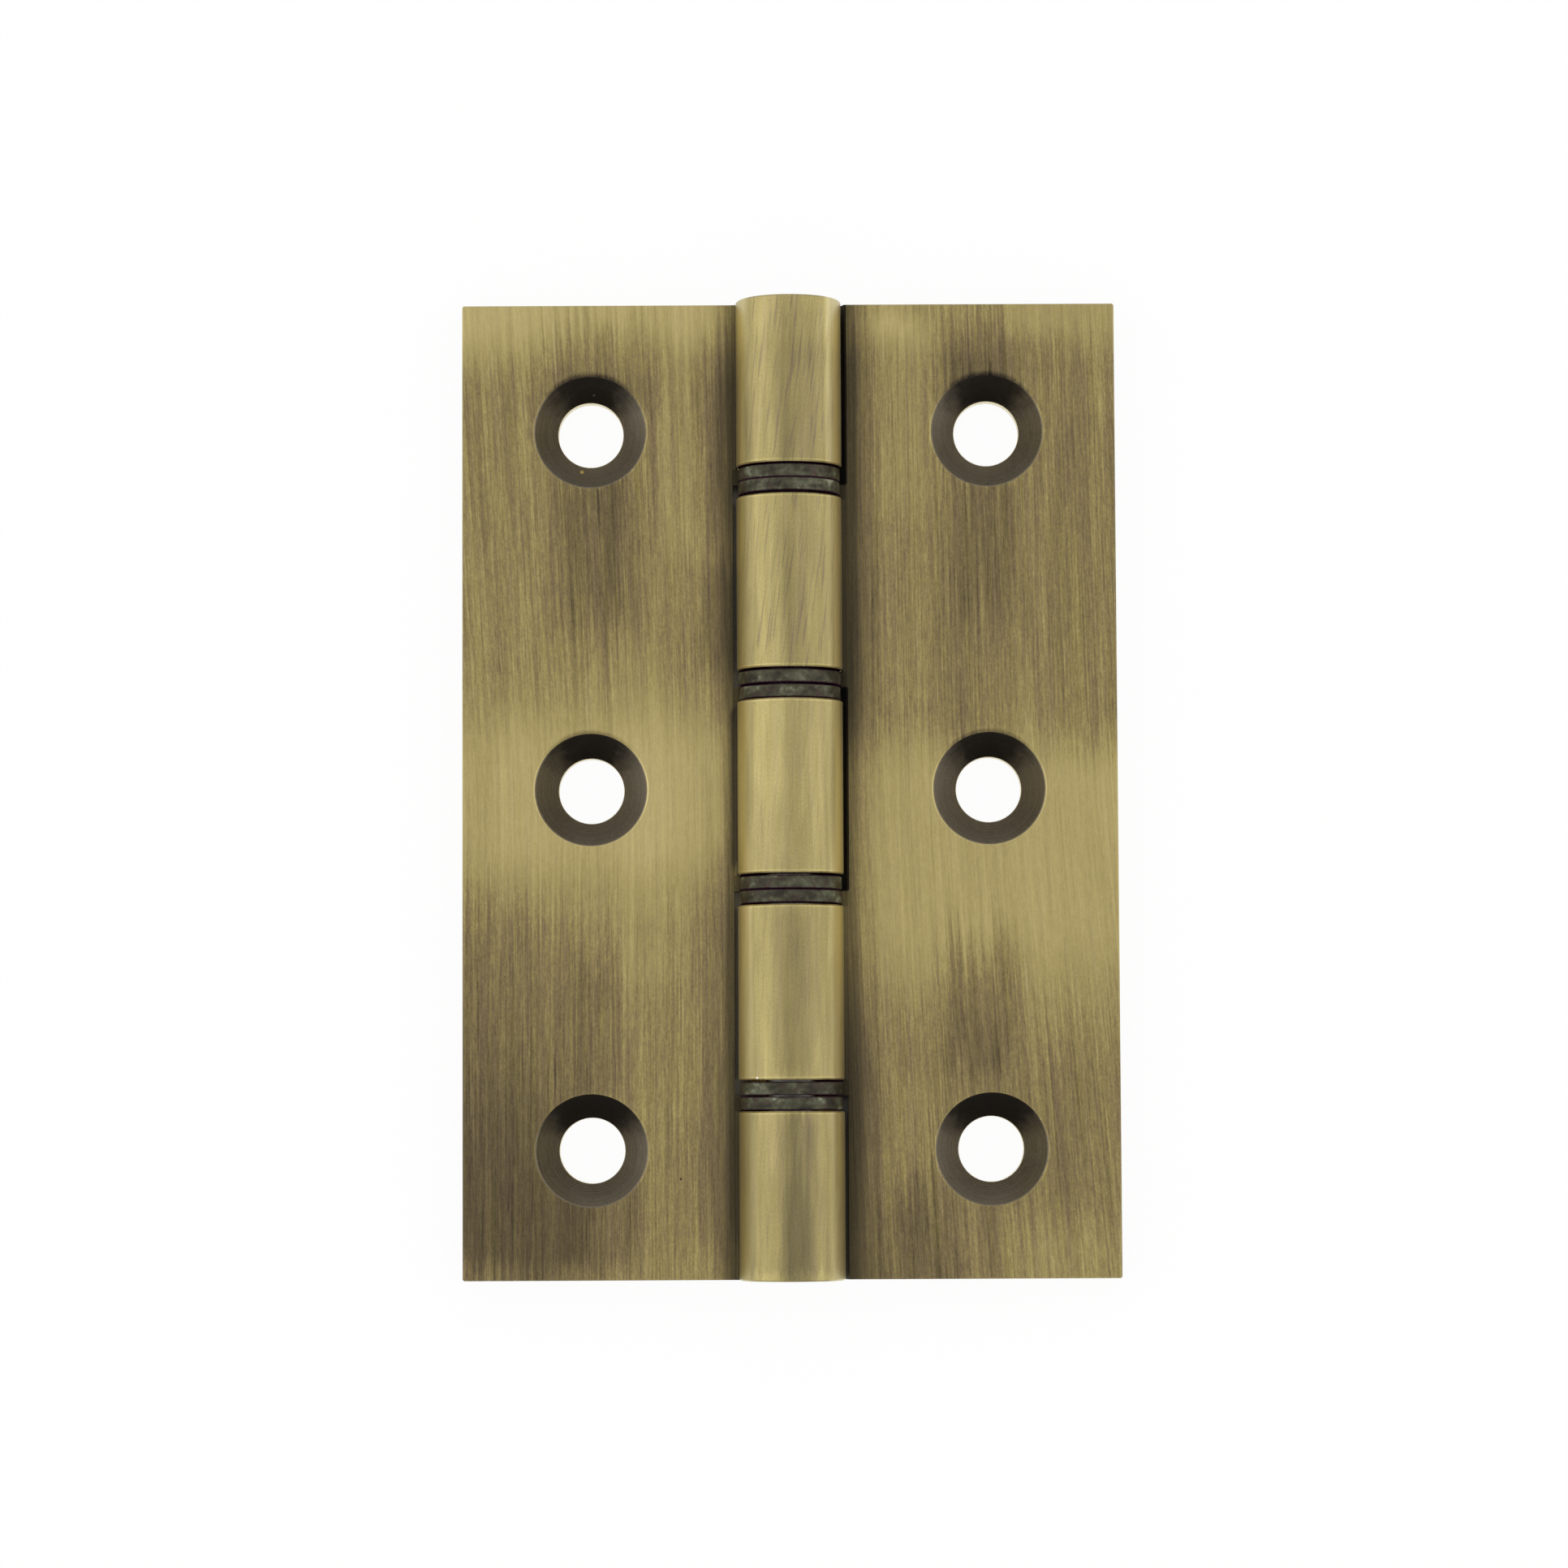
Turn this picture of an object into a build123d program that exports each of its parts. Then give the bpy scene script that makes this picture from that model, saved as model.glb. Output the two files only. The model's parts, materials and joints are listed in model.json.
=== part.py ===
from build123d import *
from math import sqrt
import os

# Washered butt hinge, opened flat and lying on its back faces.
# X runs across the leaves, Y runs along the pin and Z stands up from the back faces.
# The origin is under the middle of the pin, on the back plane. Sizes are millimetres.

# Leaves
hinge_length = 76.0
leaf_reach = 25.5             # from the pin's axis to a leaf's outer edge
leaf_thickness = 3.0
root_fillet = 0.4             # between a leaf's front face and its knuckles
edge_break = 0.12             # small bevel on the polished outer edges

# Knuckles, numbered from the +Y end: odd ones on the left leaf, even ones on the right
knuckle_count = 5
knuckle_radius = 4.1
end_knuckle_length = 13.0
relief_clearance = 0.43       # around a knuckle, in the edge of the opposite leaf

# Pin, pressed into the left leaf and turning in the right one
pin_radius = 2.0
pin_end_bevel = 0.3
pin_interference = 0.01
pin_running_clearance = 0.04

# Washers, two in each joint between neighbouring knuckles
washer_thickness = 1.0
washer_setback = 0.15         # how far a washer's rim stands inside the knuckles' surface
washer_play = 0.39            # free length in a joint, beside its two washers
washer_bore_clearance = 0.07
washer_seat_clearance = 0.17  # around a washer, in the edge of the leaf beside it
washer_edge_break = 0.08
# where the washers of each joint have slid to, from the +Y end down: the shares of the play
# above the upper one and between the two
washer_play_shares = ((0.35, 0.13), (0.42, 0.44), (0.46, 0.23), (0.38, 0.39))

# Countersunk screw holes, one row in each leaf
hole_count = 3
hole_pitch = 28.0
hole_edge_distance = 10.0     # from a leaf's outer edge to its row
hole_radius = 2.55
countersink_radius = 4.4
countersink_slope = 1.0       # rise over run of the cone, 1 for a countersink of 90 degrees
rim_break = 0.1               # small bevel where a cone meets the front face

# Sizes that follow from the ones above
axis_height = knuckle_radius  # the barrel lies tangent to the back plane
washer_radius = knuckle_radius - washer_setback
joint_gap = 2 * washer_thickness + washer_play
joint_count = knuckle_count - 1
all_inner_knuckles = hinge_length - 2 * end_knuckle_length - joint_count * joint_gap
inner_knuckle_length = all_inner_knuckles / (knuckle_count - 2)
seat_radius = washer_radius + washer_seat_clearance
relief_radius = knuckle_radius + relief_clearance
cutter_size = 2 * (leaf_reach + knuckle_radius)  # larger than anything it cuts


def along_pin(section, low, high):
    # pushes a section, drawn across the hinge, along Y
    return Pos(0, low, 0) * extrude(section, high - low, dir=(0, 1, 0))


def round_about_pin(radius, low, high):
    with BuildSketch(Plane.XZ) as section:
        with Locations((0, axis_height)):
            Circle(radius)
    return along_pin(section.sketch, low, high)


def knuckle_spans():
    # low and high end of each knuckle along Y, from the +Y end down
    spans = []
    high = hinge_length / 2
    for number in range(knuckle_count):
        at_end = number in (0, knuckle_count - 1)
        length = end_knuckle_length if at_end else inner_knuckle_length
        spans.append((high - length, high))
        high -= length + joint_gap
    return spans


def leaf_section():
    # the drawn section: a plate whose back runs tangent into a round barrel
    fillet_centre_z = leaf_thickness + root_fillet - axis_height
    fillet_centre_x = sqrt((knuckle_radius + root_fillet) ** 2 - fillet_centre_z**2)
    to_barrel = knuckle_radius / (knuckle_radius + root_fillet)
    barrel_point = (fillet_centre_x * to_barrel, axis_height + fillet_centre_z * to_barrel)
    with BuildSketch(Plane.XZ) as section:
        with BuildLine():
            back = Line((0, 0), (leaf_reach, 0))
            edge = Line(back @ 1, (leaf_reach, leaf_thickness))
            front = Line(edge @ 1, (fillet_centre_x, leaf_thickness))
            RadiusArc(front @ 1, barrel_point, root_fillet)
            ThreePointArc(barrel_point, (-knuckle_radius, axis_height), (0, 0))
        make_face()
    return section.sketch


def leaf_blank():
    # a length of the drawn section with the bevels of its polished outer edges
    blank = along_pin(leaf_section(), -hinge_length / 2, hinge_length / 2)
    outer_edge = blank.faces().sort_by(Axis.X)[-1]
    ends = blank.faces().filter_by(Axis.Y)
    bevelled = set(outer_edge.edges())
    for end in ends:
        bevelled.update(end.edges())
    return chamfer(bevelled, edge_break)


def window_section(radius):
    # everything left of the pin and in front of the plate, and a round hollow into the plate
    with BuildSketch(Plane.XZ) as section:
        with Locations((0, axis_height)):
            Circle(radius)
            Rectangle(cutter_size, cutter_size, align=(Align.MAX, Align.CENTER))
        with Locations((0, leaf_thickness)):
            Rectangle(2 * relief_radius, cutter_size, align=(Align.CENTER, Align.MIN))
    return section.sketch


def window_cutters(span):
    # room for a knuckle of the other leaf and for the washers at both its ends
    low, high = span
    half_gap = joint_gap / 2
    seats = along_pin(window_section(seat_radius), low - joint_gap, high + joint_gap)
    relief = along_pin(window_section(relief_radius), low - half_gap, high + half_gap)
    return [seats, relief]


def knuckle_end_bevel(end, inward):
    # breaks the free edge of a knuckle's end, and stops at the plate that carries it
    inside = knuckle_radius - edge_break
    outside = knuckle_radius + edge_break
    depth = 2 * inward * edge_break
    corner = Polyline((inside, end), (outside, end), (outside, end + depth), close=True)
    ring = Pos(0, 0, axis_height) * revolve(make_face(corner), Axis.Y)
    plate = Pos(0, end, leaf_thickness) * Box(
        cutter_size, cutter_size, cutter_size, align=(Align.MIN, Align.CENTER, Align.MAX)
    )
    return ring - plate


def screw_hole():
    # a through bore, a cone for the screw's head and a small bevel round its rim
    cone_depth = (countersink_radius - hole_radius) * countersink_slope
    outline = Polyline(
        (0, -cutter_size),
        (hole_radius, -cutter_size),
        (hole_radius, leaf_thickness - cone_depth),
        (countersink_radius - rim_break, leaf_thickness - rim_break * countersink_slope),
        (countersink_radius + rim_break, leaf_thickness),
        (countersink_radius + rim_break, cutter_size),
        (0, cutter_size),
        close=True,
    )
    return revolve(Plane.XZ * make_face(outline), Axis.Z)


def leaf(first_knuckle, bore_radius):
    # reaches towards +X and carries every second knuckle, counted from first_knuckle
    body = leaf_blank()
    for span in spans[1 - first_knuckle :: 2]:
        for cutter in window_cutters(span):
            body -= cutter
    for number in range(first_knuckle, knuckle_count, 2):
        low, high = spans[number]
        if number < joint_count:
            body -= knuckle_end_bevel(low, 1)
        if number > 0:
            body -= knuckle_end_bevel(high, -1)
    body -= round_about_pin(bore_radius, -hinge_length, hinge_length)
    for number in range(hole_count):
        hole_y = (number - (hole_count - 1) / 2) * hole_pitch
        body -= Pos(leaf_reach - hole_edge_distance, hole_y, 0) * screw_hole()
    return body


def hinge_pin():
    rod = round_about_pin(pin_radius, -hinge_length / 2, hinge_length / 2)
    return chamfer(rod.edges().filter_by(GeomType.CIRCLE), pin_end_bevel)


def washer(low):
    disc = round_about_pin(washer_radius, low, low + washer_thickness)
    disc = chamfer(disc.edges().filter_by(GeomType.CIRCLE), washer_edge_break)
    return disc - round_about_pin(pin_radius + washer_bore_clearance, -hinge_length, hinge_length)


spans = knuckle_spans()
left_leaf = leaf(0, pin_radius - pin_interference)

parts = {
    "left_leaf": mirror(left_leaf, about=Plane.YZ),
    "right_leaf": leaf(1, pin_radius + pin_running_clearance),
    "pin": hinge_pin(),
}
for joint in range(joint_count):
    joint_top = spans[joint][0]
    above, between = washer_play_shares[joint % len(washer_play_shares)]
    upper_top = joint_top - above * washer_play
    lower_top = upper_top - washer_thickness - between * washer_play
    parts[f"washer_{joint + 1}_upper"] = washer(upper_top - washer_thickness)
    parts[f"washer_{joint + 1}_lower"] = washer(lower_top - washer_thickness)

os.makedirs("parts", exist_ok=True)
for name, part in parts.items():
    export_step(part, f"parts/{name}.step")
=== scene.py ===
import json
import math

import bmesh
import bpy
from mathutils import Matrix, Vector


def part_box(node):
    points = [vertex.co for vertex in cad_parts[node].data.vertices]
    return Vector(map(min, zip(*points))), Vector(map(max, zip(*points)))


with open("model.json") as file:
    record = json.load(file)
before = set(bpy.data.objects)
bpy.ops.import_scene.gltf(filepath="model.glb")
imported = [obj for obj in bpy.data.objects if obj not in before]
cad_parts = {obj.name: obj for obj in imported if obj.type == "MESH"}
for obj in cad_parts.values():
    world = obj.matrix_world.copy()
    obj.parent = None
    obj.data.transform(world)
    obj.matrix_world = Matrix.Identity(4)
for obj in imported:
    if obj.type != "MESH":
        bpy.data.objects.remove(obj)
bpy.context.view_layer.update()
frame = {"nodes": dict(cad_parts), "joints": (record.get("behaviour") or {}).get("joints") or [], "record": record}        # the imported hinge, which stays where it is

print("hinge loaded:", ", ".join(sorted(frame["nodes"])))

# sizes that the finishes follow, in millimetres, worked out from the frame
mm = 1000
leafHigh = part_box("left_leaf")[1] * mm
mounts = {mount["name"]: mount for mount in frame["record"]["mounts"]}
endScrews = mounts["left_leaf_end_screws"]

hinge = {
    "axisHeight": frame["joints"][0]["pos_m"][2] * mm,
    "barrelRadius": leafHigh.z / 2,
    "holeFromPin": -endScrews["pos_m"][0] * mm,
    "holePitch": endScrews["dims"]["spacing_y_mm"] / 2,      # the middle hole lies between these
    "boreRadius": endScrews["dims"]["hole_r_mm"],
    "halfLength": leafHigh.y,
    "leafReach": -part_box("left_leaf")[0].x * mm,
    "endKnuckle": 13.0,
    "jointGap": 2.39,          # between two knuckles, with both washers
    "joints": 4,
}
firstJoint = hinge["halfLength"] - hinge["endKnuckle"] - hinge["jointGap"] / 2
jointPitch = firstJoint * 2 / (hinge["joints"] - 1)
pastEnd = 60                   # beyond either end, so that a stain is whole on the end face too


# shader maths

class Wire:
    # a node's output that can be written into Python sums
    def __init__(self, board, socket):
        self.board, self.socket = board, socket

    def __add__(self, other):
        return self.board.maths("ADD", self, other)

    def __radd__(self, other):
        return self.board.maths("ADD", other, self)

    def __sub__(self, other):
        return self.board.maths("SUBTRACT", self, other)

    def __rsub__(self, other):
        return self.board.maths("SUBTRACT", other, self)

    def __mul__(self, other):
        return self.board.maths("MULTIPLY", self, other)

    def __rmul__(self, other):
        return self.board.maths("MULTIPLY", other, self)

    def __truediv__(self, other):
        return self.board.maths("DIVIDE", self, other)

    def __rtruediv__(self, other):
        return self.board.maths("DIVIDE", other, self)


class Board:
    # the node tree of one material or world
    seedStep = 3.7             # sets noises that are added up apart

    def __init__(self, owner):
        owner.use_nodes = True
        self.tree = owner.node_tree
        self.tree.nodes.clear()

    def node(self, kind, settings=None, sockets=None, output=0):
        made = self.tree.nodes.new(kind)
        for name, value in (settings or {}).items():
            if name == "stops":
                ramp = made.color_ramp.elements
                while len(ramp) < len(value):
                    ramp.new(1.0)
                for stop, (place, colour) in zip(ramp, value):
                    stop.position, stop.color = place, colour
            else:
                setattr(made, name, value)
        for name, value in (sockets or {}).items():
            if isinstance(value, Wire):
                self.tree.links.new(value.socket, made.inputs[name])
            else:
                made.inputs[name].default_value = value
        return Wire(self, made.outputs[output]) if made.outputs else None

    def maths(self, operation, *values):
        return self.node("ShaderNodeMath", {"operation": operation}, dict(enumerate(values)))

    def step(self, value, low, high):
        # 0 at low and 1 at high, smooth between them, and low may be the larger
        return self.node("ShaderNodeMapRange", {"interpolation_type": "SMOOTHSTEP"},
                         {"Value": value, "From Min": low, "From Max": high})

    def within(self, value, edge, soft):
        # 1 below the edge and 0 above it, soft to both sides of it
        return self.step(value, edge + soft, edge - soft)

    def distance(self, x, y):
        return self.maths("SQRT", x * x + y * y)

    def place(self):
        # where a point lies on its piece, as three values in millimetres
        point = self.node("ShaderNodeTexCoord", output="Object")
        parts = self.node("ShaderNodeSeparateXYZ", sockets={"Vector": point})
        return [Wire(self, socket) * mm for socket in parts.socket.node.outputs]

    def noise(self, point, grain, seed=0.0, detail=2.0):
        # noise about 0, with a grain of the given size in millimetres along each axis
        x, y, z = (value / size + seed for value, size in zip(point, grain))
        spot = self.node("ShaderNodeCombineXYZ", sockets={"X": x, "Y": y, "Z": z})
        return self.node("ShaderNodeTexNoise", sockets={"Vector": spot, "Scale": 1.0, "Detail": detail}) - 0.5

    def layers(self, point, kinds, seed=0.0):
        # several noises added up about 0, each with its own grain and depth
        total = 0
        for count, kind in enumerate(kinds.values()):
            wide, tall = kind["grain"]
            noise = self.noise(point, (wide, tall, wide), seed + self.seedStep * count)
            total = noise * kind["depth"] + total
        return total

    def ramp(self, stops, value):
        return self.node("ShaderNodeValToRGB", {"stops": stops}, {"Fac": value})

    def mix(self, share, first, second):
        # two colours, the second by the given share
        return self.node("ShaderNodeMix", {"data_type": "RGBA"}, {"Factor": share, 6: first, 7: second}, 2)

    def metal(self, colour, roughness, height, relief, metallic=1.0):
        # ends a material: a metal with its colour, roughness and fine relief
        bump = self.node("ShaderNodeBump", sockets={
            "Strength": relief["strength"], "Distance": relief["depth"] / mm, "Height": height})
        shader = self.node("ShaderNodeBsdfPrincipled", sockets={
            "Base Color": colour, "Metallic": metallic, "Roughness": roughness, "Normal": bump})
        self.node("ShaderNodeOutputMaterial", sockets={"Surface": shader})


def shown(red, green, blue):
    # a colour as a screen shows it, from 0 to 255, as the linear colour that a node takes
    def linear(part):
        part /= 255
        return part / 12.92 if part <= 0.04045 else ((part + 0.055) / 1.055) ** 2.4
    return (linear(red), linear(green), linear(blue), 1.0)


# camera, floor and light

cameraView = {
    "place": (-0.00164, -0.02526, 0.38256),
    "turn": (0.06749, -0.00272, -0.00485),
    "lens": 112.29,
    "sensor": 36.0,
}
stage = {
    "floorRadius": 6.0,
    "floorDrop": 0.00002,      # so that the floor isn't in the same plane as the leaves' backs
    "floorColour": shown(236, 236, 234),
    "floorGlow": 0.94,         # share of the floor's white that no shadow darkens
    "ceiling": 0.92,
    "horizon": 1.12,
    "overhead": (0.3, 1.0),    # the height in the sky over which the one turns into the other
}
softboxes = [
    {"name": "softboxLeft", "place": (-0.52, 0.02, 0.36), "size": (0.44, 1.1), "power": 0.8},
    {"name": "softboxRight", "place": (0.52, 0.02, 0.36), "size": (0.44, 1.1), "power": 0.65},
]


def addCamera():
    lensData = bpy.data.cameras.new("camera")
    lensData.lens, lensData.sensor_width = cameraView["lens"], cameraView["sensor"]
    lensData.clip_start, lensData.clip_end = 0.01, 50
    camera = bpy.data.objects.new("camera", lensData)
    camera.location, camera.rotation_euler = cameraView["place"], cameraView["turn"]
    bpy.context.scene.collection.objects.link(camera)
    bpy.context.scene.camera = camera


def seenAsBackground(board):
    # 1 for the rays that show the background: straight, mirrored or through glass
    path = board.node("ShaderNodeLightPath").socket.node.outputs
    rays = [Wire(board, path[name]) for name in ("Is Camera Ray", "Is Glossy Ray", "Is Transmission Ray")]
    return board.maths("MINIMUM", rays[0] + rays[1] + rays[2], 1.0)


def addFloor():
    mesh = bpy.data.meshes.new("floor")
    shape = bmesh.new()
    bmesh.ops.create_circle(shape, cap_ends=True, segments=96, radius=stage["floorRadius"])
    bmesh.ops.translate(shape, vec=(0, 0, -stage["floorDrop"]), verts=shape.verts)
    shape.to_mesh(mesh)
    shape.free()
    floor = bpy.data.objects.new("floor", mesh)
    bpy.context.scene.collection.objects.link(floor)
    paper = bpy.data.materials.new("floorPaper")
    board = Board(paper)
    matt = board.node("ShaderNodeBsdfDiffuse", sockets={"Color": stage["floorColour"]})
    glow = board.node("ShaderNodeEmission", sockets={"Color": (1, 1, 1, 1), "Strength": 1.0})
    both = board.node("ShaderNodeMixShader", sockets={
        0: seenAsBackground(board) * stage["floorGlow"], 1: matt, 2: glow})
    board.node("ShaderNodeOutputMaterial", sockets={"Surface": both})
    mesh.materials.append(paper)


def addLight():
    world = bpy.data.worlds.new("studio")
    bpy.context.scene.world = world
    board = Board(world)
    direction = board.node("ShaderNodeTexCoord", output="Generated")
    parts = board.node("ShaderNodeSeparateXYZ", sockets={"Vector": direction}).socket.node.outputs
    overhead = board.step(Wire(board, parts["Z"]), *stage["overhead"])
    level = stage["horizon"] + overhead * (stage["ceiling"] - stage["horizon"])
    board.node("ShaderNodeOutputWorld", sockets={
        "Surface": board.node("ShaderNodeBackground", sockets={"Color": (1, 1, 1, 1), "Strength": level})})
    for box in softboxes:
        lamp = bpy.data.lights.new(box["name"], "AREA")
        lamp.shape, lamp.energy = "RECTANGLE", box["power"]
        lamp.size, lamp.size_y = box["size"]
        holder = bpy.data.objects.new(box["name"], lamp)
        holder.location = box["place"]
        holder.rotation_euler = Vector(box["place"]).to_track_quat("Z", "Y").to_euler()
        bpy.context.scene.collection.objects.link(holder)


addCamera()
addFloor()
addLight()
bpy.context.scene.view_settings.view_transform = "Standard"
print("camera, floor and light in place")


# brass leaves

brass = {
    # tone is how light the metal shows, from 0 to 1, and picks its colour here
    "tones": [
        (0.00, shown(14, 12, 10)),
        (0.15, shown(34, 31, 25)),
        (0.31, shown(69, 62, 45)),
        (0.41, shown(91, 81, 55)),
        (0.53, shown(117, 105, 69)),
        (0.63, shown(138, 125, 79)),
        (0.73, shown(161, 147, 95)),
        (0.86, shown(188, 173, 118)),
        (1.00, shown(214, 199, 148)),
    ],
    # the same tones where the metal has gone a purplish brown
    "brownTones": [
        (0.00, shown(14, 11, 11)),
        (0.15, shown(36, 30, 29)),
        (0.31, shown(72, 61, 53)),
        (0.41, shown(95, 79, 68)),
        (0.53, shown(122, 103, 85)),
        (0.63, shown(142, 123, 97)),
        (0.73, shown(165, 145, 113)),
        (0.86, shown(191, 171, 134)),
        (1.00, shown(216, 197, 162)),
    ],
    "brown": {
        "share": 0.25, "depth": 1.05, "grain": (0.24, 9.0, 0.24), "inDarkLines": 1.0,
        "worn": (0.58, 0.72), "onWorn": 0.5,                 # paler metal has less of it
        "shadeFade": 1.0,                                    # none in the shade beside the barrel
    },
    # lines of the brushing: grain is their width and length, depth how far they change the tone
    "lines": {
        "hairs": {"grain": (0.14, 8.0), "depth": 0.3},
        "longHairs": {"grain": (0.18, 24.0), "depth": 0.18},
        "nicks": {"grain": (0.14, 1.2), "depth": 0.21},
        "bundles": {"grain": (0.55, 12.0), "depth": 0.15},
        "sweeps": {"grain": (1.9, 22.0), "depth": 0.08},
        "grit": {"grain": (0.12, 0.22), "depth": 0.2},
    },
    # the lines are fainter on the lightest and the darkest metal
    "calm": {"from": 0.62, "to": 0.76, "share": 0.62},
    "dim": {"from": 0.56, "to": 0.36, "share": 0.46},
    "scratches": {"grain": (0.12, 7.0, 0.12), "seed": 32.0, "from": 0.17, "to": 0.24, "tone": 0.09},
    "smears": {"grain": (0.34, 9.0, 0.34), "seed": 29.0, "from": -0.11, "to": -0.2, "tone": -0.09},
    "smeared": (0.62, 0.5),    # the tones between which the smears come in
    "pits": {"spacing": 3.1, "radius": 0.07, "tone": -0.13},
    "runs": (0.35, 60.0, 5.0),
    "darkFringe": 14.0,       # how far a darker place's ends run out along the lines
    "lightFringe": 4.0,
    "fringeLimit": 3,          # and at most how many times its fade
    "shadeFringe": 1.1,        # the same for the shade beside the barrel
    "shadeHeight": (0.3, 1.2), # which is on the leaves' fronts alone
    "linesInShade": 0.7,
    "leanTurn": 8.0,           # over how long a stretch the lines turn from one lean to the other
    "roughness": 0.36,
    "roughLines": 0.4,         # how far the lines change the roughness
    "relief": {"strength": 0.12, "depth": 0.02},
}

# Stains, worn places, painted sheen and painted shade on each leaf: the bands across are partly wear
# and partly painted sheen, and the places beside the barrel deepen or ease its painted shade.
# across and along are where one is full, fade is how far it dies out sideways, downwards and
# upwards, and tone is what it adds.
leafLooks = {
    "left": {
        "metal": 0.635,
        # how far the lines lean, at the barrel and at the outer edge, above and below the middle
        "lean": {"above": (0.005, 0.062), "below": (0.0, 0.0)},
        "shadeBesideBarrel": {"start": 4.4, "wide": 2.9, "wideTone": 0.145, "close": 1.3, "closeTone": 0.13},
        "gapWidth": 0.0,
        "places": {
            "wornAndSheenTop": {"across": (-26, 0), "along": (37.2, pastEnd), "fade": (1, 6, 1), "tone": 0.17},
            "wornAndSheenMiddle": {"across": (-26, 0), "along": (-3.5, 1.5), "fade": (1, 8, 9), "tone": 0.145},
            "middleInner": {
                "across": (-12.5, -10.6), "along": (-14, 10), "fade": (1.6, 4, 4), "tone": 0.035},
            "aboveFirstHole": {
                "across": (-17.5, -12), "along": (30, 34.5), "fade": (4, 3, 5), "tone": -0.09},
            "belowFirstHole": {
                "across": (-16.6, -13.8), "along": (16, 24), "fade": (3.5, 6, 2), "tone": -0.12},
            "besideUpper": {"across": (-5.6, 0), "along": (24, 35.5), "fade": (2.2, 5, 2.5), "tone": -0.07},
            "innerUpper": {"across": (-9.4, -7.8), "along": (20, 31.5), "fade": (1.4, 3, 3), "tone": 0.05},
            "besideSecond": {"across": (-6.2, 0), "along": (11.5, 16), "fade": (1.8, 3, 3), "tone": -0.08},
            "besideThird": {"across": (-4.4, 0), "along": (-5.5, 6), "fade": (0.45, 1, 1), "tone": -0.19},
            "innerLighter": {"across": (-5.6, -5), "along": (-3, 4), "fade": (0.6, 2, 3), "tone": 0.05},
            "underMiddle": {"across": (-19, -8.5), "along": (-13.5, -9.5), "fade": (2, 3, 2), "tone": 0.03},
            "besideLower": {"across": (-7.6, 0), "along": (-35, -22), "fade": (1.2, 2, 4), "tone": -0.03},
            "firstHoleStripe": {
                "across": (-14.2, -13.4), "along": (13, 24.5), "fade": (0.4, 5, 1), "tone": -0.06},
            "overFirstHole": {
                "across": (-14.7, -13.9), "along": (32, 35.5), "fade": (0.5, 2, 1.5), "tone": -0.06},
            "aboveLastHole": {
                "across": (-16, -13.6), "along": (-23, -15), "fade": (1.4, 3, 4), "tone": -0.06},
            "lowerOuter": {
                "across": (-26, -20), "along": (-pastEnd, -14), "fade": (8.2, 1, 7), "tone": -0.075},
            "lowerCorner": {"across": (-26, -20), "along": (-36, -31), "fade": (8.8, 5, 17), "tone": -0.14},
            "belowLastHole": {
                "across": (-17, -13), "along": (-36, -31), "fade": (2, 1.5, 2), "tone": -0.07},
            "wornAndSheenBottom": {
                "across": (-26, -17), "along": (-pastEnd, -37.5), "fade": (2, 1.4, 1.4), "tone": 0.04},
            "innerFoot": {"across": (-12, -4), "along": (-34.5, -29), "fade": (2, 2, 4), "tone": -0.03},
            "outerMiddle": {"across": (-26, -23.6), "along": (-8, 5), "fade": (1.5, 3, 3), "tone": -0.03},
        },
    },
    "right": {
        "metal": 0.59,
        "lean": {"above": (0.0, 0.033), "below": (0.025, 0.08)},
        "shadeBesideBarrel": {"start": 4.6, "wide": 3.3, "wideTone": 0.155, "close": 1.3, "closeTone": 0.14},
        "gapWidth": 0.1,
        "places": {
            "wornAndSheenTop": {"across": (0, 26), "along": (37.2, pastEnd), "fade": (1, 4, 1), "tone": 0.14},
            "wornAndSheenMiddle": {"across": (0, 26), "along": (-9.5, 0.5), "fade": (1, 14, 5.8), "tone": 0.17},
            "innerUpper": {"across": (7.4, 10), "along": (24, 36), "fade": (2.2, 8, 2), "tone": 0.09},
            "innerMiddle": {"across": (7.5, 10), "along": (5, 17), "fade": (2.4, 4, 4), "tone": 0.05},
            "besideSecond": {"across": (0, 6.6), "along": (9, 15), "fade": (1.8, 4, 4), "tone": -0.035},
            "outerTop": {"across": (22.8, 26), "along": (31, 34), "fade": (2, 3, 3), "tone": 0.035},
            "outerUpper": {"across": (18, 19.6), "along": (5, 32), "fade": (1.5, 3, 3), "tone": 0.035},
            "overFirstHole": {
                "across": (10.5, 15.5), "along": (36.5, pastEnd), "fade": (2, 2, 1), "tone": -0.06},
            "aboveFirstHole": {
                "across": (13.5, 16.6), "along": (30, 34.5), "fade": (2.6, 3, 5), "tone": -0.12},
            "belowFirstHole": {
                "across": (13.5, 16.5), "along": (17, 24), "fade": (2.4, 6.5, 2), "tone": -0.075},
            "aboveLastHole": {
                "across": (13, 16.2), "along": (-19, -14.5), "fade": (2.8, 5, 5.5), "tone": -0.125},
            "besideLastHole": {
                "across": (8.6, 10.6), "along": (-28, -24), "fade": (1.6, 3, 3), "tone": 0.04},
            "besideLower": {"across": (0, 5.6), "along": (-31, -15), "fade": (1.9, 5, 4), "tone": -0.025},
            "lowerInner": {"across": (8, 11.5), "along": (-pastEnd, -33), "fade": (3, 1, 4), "tone": -0.09},
            "lowerOuter": {"across": (19, 26), "along": (-pastEnd, -36), "fade": (5, 1, 5), "tone": 0.08},
        },
    },
}

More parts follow.
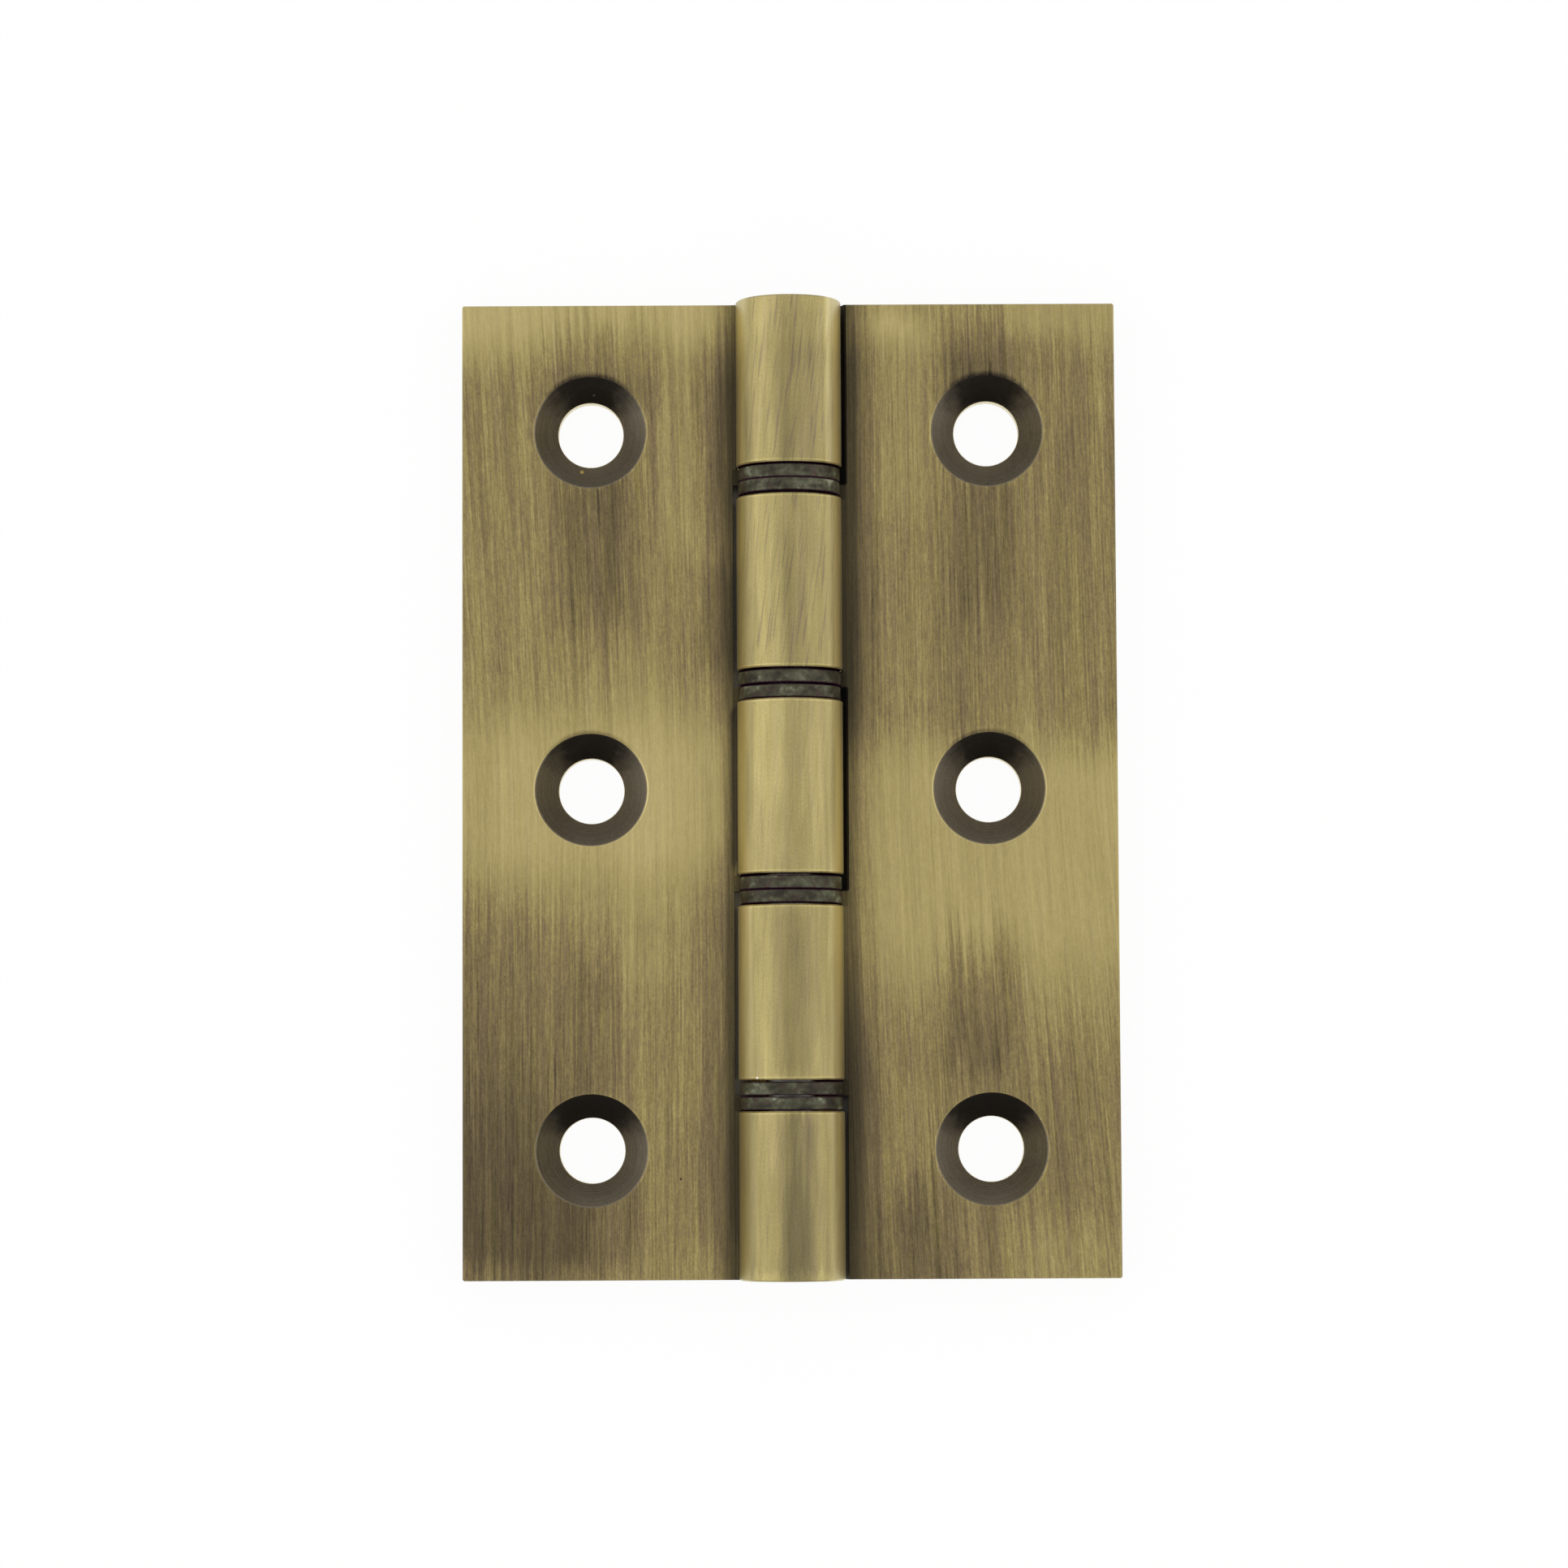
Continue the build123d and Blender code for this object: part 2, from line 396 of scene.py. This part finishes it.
countersink = {
    "tones": [
        (0.00, shown(18, 15, 14)),
        (0.25, shown(40, 36, 31)),
        (0.60, shown(92, 85, 73)),
        (1.00, shown(142, 132, 112)),
    ],
    "tone": 0.7,
    # painted shade over the upper part of each cone, wider in the last row
    "paintedConeShade": {
        "from": 0.36, "to": 1.05, "tone": -0.55, "widerBelow": -20, "wider": 0.15,
        "grain": (0.7, 0.7, 0.7), "waver": 0.25, "overRings": 0.7,
    },
    "rings": {"grain": 0.1, "depth": 0.4},                   # left by the turning tool
    "grit": {"grain": (0.12, 0.12, 0.12), "depth": 0.2},
    "edge": 4.38,              # radius where the dark of the cone ends, on the rim's small bevel
    # the painted shade of the upper holes spreads past the rim, and the lower ones have an unshaded edge
    "rim": {
        "out": 4.46, "soft": 0.04, "tone": 0.03, "rimShadeTone": -0.26, "rimShadeOut": 0.4,
        "unshadedBelow": -22, "shadedAbove": 18,
    },
    # the bore's pale colour is a painted reflection
    "bore": shown(224, 213, 176),
    "height": (0.01, 0.02),    # all of it starts this far above the leaf's back
}


def patchTone(board, places, x, y, streak):
    total = 0
    for place in places.values():
        (left, right), (low, high) = place["across"], place["along"]
        side, under, over = place["fade"]
        fringe = brass["darkFringe"] if place["tone"] < 0 else brass["lightFringe"]
        run = y + streak * min(fringe, brass["fringeLimit"] * max(under, over))
        full = (board.step(x, left - side, left) * board.step(x, right + side, right)
                * board.step(run, low - under, low) * board.step(run, high + over, high))
        total = full * place["tone"] + total
    return total


def pitted(board, point, pits):
    # 1 in small pits, one in each cell of a loose pattern
    x, y, z = (value / pits["spacing"] for value in point)
    spot = board.node("ShaderNodeCombineXYZ", sockets={"X": x, "Y": y, "Z": z})
    away = board.node("ShaderNodeTexVoronoi", sockets={"Vector": spot, "Scale": 1.0}) * pits["spacing"]
    return board.step(away, pits["radius"], pits["radius"] / 2)


def brassColour(board, tone, brown):
    return board.mix(brown, board.ramp(brass["tones"], tone), board.ramp(brass["brownTones"], tone))


def flatTone(board, point, combed, look, side, lines):
    # the flat of a leaf: its stains, its wear and painted sheen, the painted shade beside the barrel and the
    # brushed lines
    x, y, z = point
    streak = board.noise(combed, brass["runs"], seed=11.0)
    beside = look["shadeBesideBarrel"]
    reach = x * side + streak * brass["shadeFringe"]
    front = board.step(z, *brass["shadeHeight"])
    away = board.step(reach, beside["start"], beside["start"] + beside["wide"])
    tone = look["metal"] + patchTone(board, look["places"], x, y, streak)
    # painted shade, with some patina, in a wide and a close strip beside the barrel
    tone = tone - (1 - away) * front * beside["wideTone"]
    close = board.step(reach, beside["start"] + beside["close"], beside["start"])
    tone = tone - close * front * beside["closeTone"]
    dark = board.step(tone, *brass["smeared"])
    calm, dim = (board.step(tone, brass[kind]["from"], brass[kind]["to"]) * brass[kind]["share"]
                 for kind in ("calm", "dim"))
    for kind, share in (("scratches", 1 - calm), ("smears", dark * away)):
        mark = brass[kind]
        found = board.noise(combed, mark["grain"], mark["seed"])
        tone = tone + board.step(found, mark["from"], mark["to"]) * share * mark["tone"]
    pits = pitted(board, point, brass["pits"]) * brass["pits"]["tone"]
    shaded = brass["linesInShade"]
    return tone + lines * (1 - calm - dim) * (away * (1 - shaded) + shaded) + pits


def holeFinish(board, point, side, colour, leafTone, brown):
    # paints each countersink, its rim and its bore over the colour of the leaf; the bore's pale colour is a
    # painted reflection
    x, y, z = point
    pitch = hinge["holePitch"]
    holeX = x * side - hinge["holeFromPin"]
    holeY = y - board.maths("ROUND", y / pitch) * pitch
    away = board.distance(holeX, holeY)
    # painted shade darkens the upper part of each cone, and on the upper holes the rim too
    shadeSettings = countersink["paintedConeShade"]
    waver = board.noise(point, shadeSettings["grain"], seed=31.0) * shadeSettings["waver"]
    upper = waver + holeY / board.maths("MAXIMUM", away, 0.1)
    upper = upper + board.within(y, shadeSettings["widerBelow"], 1) * shadeSettings["wider"]
    paintedConeShade = board.step(upper, shadeSettings["from"], shadeSettings["to"])
    front = board.step(z, *countersink["height"])

    rim = countersink["rim"]
    past = paintedConeShade * board.step(y, rim["unshadedBelow"], rim["shadedAbove"])
    rimTone = leafTone + (1 - past) * rim["tone"] + past * rim["rimShadeTone"]
    rimOut = rim["out"] + rim["soft"] + past * rim["rimShadeOut"]
    onRim = board.step(away, rimOut, rim["out"] - rim["soft"]) * front
    colour = board.mix(onRim, colour, brassColour(board, rimTone, brown))

    turned, coarse = countersink["rings"], countersink["grit"]
    rings = board.noise((away, 0.0, 0.0), (turned["grain"], 1.0, 1.0), seed=37.0)
    grit = board.noise(point, coarse["grain"], seed=41.0) * coarse["depth"]
    coneTone = (countersink["tone"] + paintedConeShade * shadeSettings["tone"]
                + (rings * turned["depth"] + grit) * (1 - paintedConeShade * shadeSettings["overRings"]))
    inCone = board.within(away, countersink["edge"], 0.02) * front
    colour = board.mix(inCone, colour, board.ramp(countersink["tones"], coneTone))
    inBoreReflection = board.within(away, hinge["boreRadius"] + 0.02, 0.01) * front
    return board.mix(inBoreReflection, colour, countersink["bore"])


# knuckles

barrel = {
    "metal": 0.74,
    # across runs round the knuckle in millimetres, from the line at its front. The lighter strips down
    # the sides are painted highlight, rightBand dims the right one as painted shade, the lighter ends are
    # painted highlight and wear, and the darker fronts are partly painted shade and partly patina.
    "places": {
        "left": {"across": (-9, -3.9), "along": (-pastEnd, pastEnd), "fade": (0.8, 1, 1), "tone": 0.1},
        "right": {"across": (3.7, 9), "along": (-pastEnd, pastEnd), "fade": (0.8, 1, 1), "tone": 0.16},
        "rightEdge": {"across": (4.6, 9), "along": (-pastEnd, pastEnd), "fade": (0.8, 1, 1), "tone": 0.15},
        "firstRight": {"across": (3.4, 9), "along": (24, pastEnd), "fade": (0.5, 1, 1), "tone": 0.12},
        "firstLeft": {"across": (-9, -4.3), "along": (24, pastEnd), "fade": (0.8, 1, 1), "tone": 0.12},
        "fourthLeft": {"across": (-9, -3.7), "along": (-22.7, -9), "fade": (0.6, 1, 1), "tone": 0.14},
        "rightBand": {
            "across": (1.2, 2.8), "along": (-pastEnd, pastEnd), "fade": (0.9, 1, 1), "tone": -0.035},
        "firstEnd": {"across": (-9, 9), "along": (35.8, pastEnd), "fade": (1, 2.5, 1), "tone": 0.06},
        "first": {"across": (-9, 9), "along": (24, pastEnd), "fade": (1, 1, 1), "tone": -0.075},
        "firstFront": {"across": (-0.4, 1.6), "along": (24, 36), "fade": (1.2, 1, 2), "tone": -0.05},
        "second": {"across": (-9, 9), "along": (9, 22.7), "fade": (1, 1, 1), "tone": -0.045},
        "third": {"across": (-9, 9), "along": (-6.8, 6.8), "fade": (1, 1, 1), "tone": -0.02},
        "secondFront": {"across": (0.1, 0.7), "along": (9, 22.7), "fade": (1.5, 1, 1), "tone": -0.045},
        "fourth": {"across": (-9, 9), "along": (-22.7, -9), "fade": (1, 1, 1), "tone": -0.06},
        "fourthFront": {"across": (-1.1, 1.3), "along": (-21.5, -10.5), "fade": (0.5, 1, 1), "tone": -0.05},
        "fifth": {"across": (-9, 9), "along": (-pastEnd, -24.9), "fade": (1, 1, 1), "tone": -0.075},
        "fifthFront": {"across": (0, 0.8), "along": (-pastEnd, -26), "fade": (1.7, 1, 1.5), "tone": -0.115},
        "fifthLow": {
            "across": (-0.4, 0.9), "along": (-pastEnd, -32.5), "fade": (1.2, 1, 5), "tone": -0.075},
        "fifthEnd": {"across": (-9, 9), "along": (-pastEnd, -37.7), "fade": (1, 0.5, 0.8), "tone": 0.08},
    },
    "lines": {
        "bands": {"grain": (1.7, 15.0), "depth": 0.17},
        "ribbons": {"grain": (0.6, 7.0), "depth": 0.15},
        "patches": {"grain": (1.2, 3.0), "depth": 0.06},
        "hairs": {"grain": (0.2, 5.0), "depth": 0.12},
        "grit": {"grain": (0.12, 0.2), "depth": 0.14},
    },
    "leafLines": 0.12,         # how much of the leaves' brushing shows on the knuckles
    "sway": {"grain": (9.0, 14.0, 9.0), "depth": 0.5},
    "runs": (0.35, 60.0, 30.0),
    "lean": -0.05,             # of the first knuckle's lines
    # fewer of them on the knuckles below the second
    "scuffs": {
        "slant": -0.13, "grain": (0.2, 5.0, 30.0), "from": -0.04, "to": -0.17, "tone": -0.1,
        "brown": 0.5, "upper": (8.0, 9.0), "below": 0.3,
    },
    "brown": {"share": 0.02, "depth": 1.4, "grain": (0.5, 10.0, 30.0)},
    # a paler, greener bloom, most of it down the sides
    "bloom": {"from": 2.9, "to": 4.6, "share": 0.08, "sideShare": 0.32, "colour": shown(194, 190, 152)},
    # in millimetres from the middle of a joint: the dark end, and the rubbed edge beside it, lighter by
    # wear and a painted highlight
    "darkEnd": (1.22, 1.2),
    "rubbedAndHighlitEnd": {"fade": (1.5, 1.38), "tone": 0.09, "brown": 0.5},
    "endFace": shown(80, 36, 66),
    # the colour of the painted shade in the gaps beside the knuckles
    "gapShadeColour": shown(16, 13, 18),
    # how far from the pin the painted shade beside a knuckle ends, and how dark it is by a leaf's own
    # knuckles and by the other leaf's
    "gap": {
        "out": 4.58, "own": 0.3, "left": 0.0, "right": 0.8, "rightLast": 0.15,
        "height": (0.02, 0.1), "rough": 0.5,
    },
}
specks = {
    # small marks of the one hinge and one painted glint: the leaf's side, place, radius and colour
    "chip": {"side": -1, "at": (-16.2, 25.05), "radius": 0.17, "colour": shown(204, 180, 106)},
    "dust": {"side": -1, "at": (-15.24, 31.1), "radius": 0.09, "colour": shown(78, 76, 70)},
    "pit": {"side": -1, "at": (2.28, -5.3), "radius": 0.13, "colour": shown(150, 132, 92)},
    "paintedGlint": {"side": 1, "at": (-2.66, -22.48), "radius": 0.11, "colour": shown(226, 222, 204)},
    "crumb": {"side": -1, "at": (-8.6, -30.2), "radius": 0.11, "colour": shown(70, 56, 44)},
}
speckCore = 0.7                # share of a speck's radius that has its full colour
speckHeight = (0.3, 0.4)       # they are on the front alone


def knuckleColour(board, point, around, fromPin, lines):
    x, y, z = point
    sway = board.noise(point, barrel["sway"]["grain"], seed=5.0) * barrel["sway"]["depth"]
    onFirst = board.step(y, firstJoint - 1, firstJoint)
    wrapped = (around + sway + y * onFirst * barrel["lean"], y, fromPin)
    streak = board.noise(wrapped, barrel["runs"], seed=12.0)
    tone = barrel["metal"] + patchTone(board, barrel["places"], around, y, streak)
    tone = tone + board.layers(wrapped, barrel["lines"], seed=50.0) + lines * barrel["leafLines"]

    scuffs = barrel["scuffs"]
    found = board.noise((around + y * scuffs["slant"], y, fromPin), scuffs["grain"], seed=61.0)
    share = scuffs["below"] + board.step(y, *scuffs["upper"]) * (1 - scuffs["below"])
    scuffed = board.step(found, scuffs["from"], scuffs["to"]) * share

    # along each end beside a joint the edge is lighter by wear and a painted highlight, and the end itself is
    # dark
    nearestJoint = board.maths("ROUND", (y - firstJoint) / jointPitch) * jointPitch
    fromJoint = board.maths("ABSOLUTE", y - firstJoint - nearestJoint)
    bright, patina = barrel["rubbedAndHighlitEnd"], barrel["brown"]
    rubbedAndHighlit = board.step(fromJoint, *bright["fade"])
    tone = tone + scuffed * scuffs["tone"] + rubbedAndHighlit * bright["tone"]
    brown = (board.noise(wrapped, patina["grain"], seed=70.0) * patina["depth"] + patina["share"]
             + scuffed * scuffs["brown"] - rubbedAndHighlit * bright["brown"])
    bloom = barrel["bloom"]
    onSides = board.step(board.maths("ABSOLUTE", around), bloom["from"], bloom["to"])
    bloomed = onSides * bloom["sideShare"] + bloom["share"]
    colour = board.mix(bloomed, brassColour(board, tone, brown), bloom["colour"])
    return board.mix(board.step(fromJoint, *barrel["darkEnd"]), colour, barrel["endFace"])


def brassFinish(name, look, side):
    material = bpy.data.materials.new(name)
    board = Board(material)
    point = board.place()
    x, y, z = point
    # the lines lean a little over part of each leaf, as the work was turned against the belt
    bent = x
    for half, way in (("above", 1), ("below", -1)):
        atBarrel, atEdge = look["lean"][half]
        slope = x * side * ((atEdge - atBarrel) / hinge["leafReach"]) + atBarrel
        bent = bent + board.maths("SMOOTH_MAX", y * way, 0.0, brass["leanTurn"]) * slope * way
    combed = (bent, y, z)
    lines = board.layers(combed, brass["lines"])
    leafTone = flatTone(board, point, combed, look, side, lines)
    patina = brass["brown"]
    worn = board.step(leafTone, *patina["worn"]) * patina["onWorn"]
    shadeStart = look["shadeBesideBarrel"]["start"]
    near = board.step(x * side, shadeStart + patina["shadeFade"], shadeStart)
    brown = (board.noise(combed, patina["grain"], seed=3.0) * patina["depth"] + patina["share"]
             - lines * patina["inDarkLines"]) * (1 - worn) * (1 - near)
    colour = holeFinish(board, point, side, brassColour(board, leafTone, brown), leafTone, brown)

    # painted shade in the strip beside each knuckle, deep where the other leaf's knuckle lies
    height = z - hinge["axisHeight"]
    fromPin = board.distance(x, height)
    radius = hinge["barrelRadius"]
    owner = board.maths("COSINE", y * (math.pi / jointPitch)) * -side
    ownKnuckle = board.step(owner, -0.03, 0.03)
    gap = barrel["gap"]
    deep = gap["left"]
    if side > 0:
        last = board.within(y, -firstJoint, 0.5)
        deep = last * (gap["rightLast"] - gap["right"]) + gap["right"]
    gapOut = gap["out"] + (1 - ownKnuckle) * look["gapWidth"]
    inGapShade = board.within(fromPin, gapOut, 0.02) * (deep + ownKnuckle * (gap["own"] - deep))
    inGapShade = inGapShade * board.step(z, *gap["height"])
    colour = board.mix(inGapShade, colour, barrel["gapShadeColour"])

    around = board.maths("ARCTAN2", x, height) * radius
    onBarrel = board.within(fromPin, radius + 0.02, 0.01)
    colour = board.mix(onBarrel, colour, knuckleColour(board, point, around, fromPin, lines))
    facing = board.step(z, *speckHeight)
    for speck in specks.values():
        if speck["side"] == side:
            across, along = speck["at"]
            away = board.distance(x - across, y - along)
            marked = board.step(away, speck["radius"], speck["radius"] * speckCore) * facing
            colour = board.mix(marked, colour, speck["colour"])
    inGapShade = inGapShade * (1 - onBarrel)
    roughness = lines * brass["roughLines"] + brass["roughness"] + inGapShade * gap["rough"]
    board.metal(colour, roughness, lines, brass["relief"])
    return material


for leafName, look, side in (("left_leaf", leafLooks["left"], -1), ("right_leaf", leafLooks["right"], 1)):
    leaf = frame["nodes"][leafName]
    leaf.material_slots[0].material = brassFinish(leafName + "Brass", look, side)
print("leaves finished")


# washers and pin

washerSteel = {
    "tones": [
        (0.00, shown(26, 21, 22)),
        (0.30, shown(46, 43, 33)),
        (0.50, shown(68, 67, 51)),
        (0.70, shown(90, 91, 73)),
        (1.00, shown(150, 154, 131)),
    ],
    "tone": 0.455,
    "layers": {
        "clouds": {"grain": (1.5, 1.0), "depth": 1.1},
        "mottle": {"grain": (0.55, 0.45), "depth": 0.5},
        "grit": {"grain": (0.13, 0.16), "depth": 0.12},
    },
    "blooms": {"grain": (0.9, 0.7, 0.9), "from": 0.03, "to": 0.2, "tone": 0.2},
    "rust": {"grain": (0.8, 0.6, 0.8), "from": 0.03, "to": 0.2, "share": 0.7, "colour": shown(66, 50, 46)},
    "sideFace": shown(80, 36, 66),
    "sideEdge": (0.05, 0.01),  # how far from a washer's side face its dark starts and is full
    "seedStep": 13.3,          # so that no washer looks like another
    "metallic": 0.75,
    "roughness": 0.5,
    "roughGrain": 0.3,
    "relief": {"strength": 0.06, "depth": 0.02},
}


def washerFinish(name, count):
    material = bpy.data.materials.new(name + "Steel")
    board = Board(material)
    point = board.place()
    seed = washerSteel["seedStep"] * count
    grain = board.layers(point, washerSteel["layers"], seed)
    blooms, rust = washerSteel["blooms"], washerSteel["rust"]
    bloom = board.step(board.noise(point, blooms["grain"], seed + 5), blooms["from"], blooms["to"])
    rusty = board.step(board.noise(point, rust["grain"], seed + 7), rust["from"], rust["to"])
    tone = grain + washerSteel["tone"] + bloom * blooms["tone"]
    colour = board.mix(rusty * rust["share"], board.ramp(washerSteel["tones"], tone), rust["colour"])
    low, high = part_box(name)
    fromMiddle = board.maths("ABSOLUTE", point[1] - (low.y + high.y) / 2 * mm)
    halfThick = (high.y - low.y) / 2 * mm
    start, full = washerSteel["sideEdge"]
    onSide = board.step(fromMiddle, halfThick - start, halfThick - full)
    colour = board.mix(onSide, colour, washerSteel["sideFace"])
    roughness = grain * washerSteel["roughGrain"] + washerSteel["roughness"]
    board.metal(colour, roughness, grain, washerSteel["relief"], washerSteel["metallic"])
    return material


pinSteel = {
    "tones": [
        (0.00, shown(40, 37, 34)),
        (0.50, shown(122, 119, 112)),
        (1.00, shown(188, 186, 180)),
    ],
    "tone": 0.5,
    "rings": {"grain": 0.09, "depth": 1.3},
    "tarnish": {"grain": (0.9, 0.9, 0.9), "depth": 1.6, "rough": 0.5},
    "roughness": 0.34,
    "relief": {"strength": 0.2, "depth": 0.02},
}


def pinFinish():
    material = bpy.data.materials.new("pinSteel")
    board = Board(material)
    x, y, z = board.place()
    fromAxis = board.distance(x, z - hinge["axisHeight"])
    turned, dull = pinSteel["rings"], pinSteel["tarnish"]
    rings = board.noise((fromAxis, y, 0.0), (turned["grain"], 6.0, 1.0), seed=83.0)
    tarnish = board.noise((x, y, z), dull["grain"], seed=89.0)
    tone = pinSteel["tone"] + rings * turned["depth"] + tarnish * dull["depth"]
    roughness = tarnish * dull["rough"] + pinSteel["roughness"]
    board.metal(board.ramp(pinSteel["tones"], tone), roughness, rings, pinSteel["relief"])
    return material


washers = sorted(name for name in frame["nodes"] if name.startswith("washer"))
for count, name in enumerate(washers):
    frame["nodes"][name].material_slots[0].material = washerFinish(name, count)
frame["nodes"]["pin"].material_slots[0].material = pinFinish()
print("washers and pin finished")
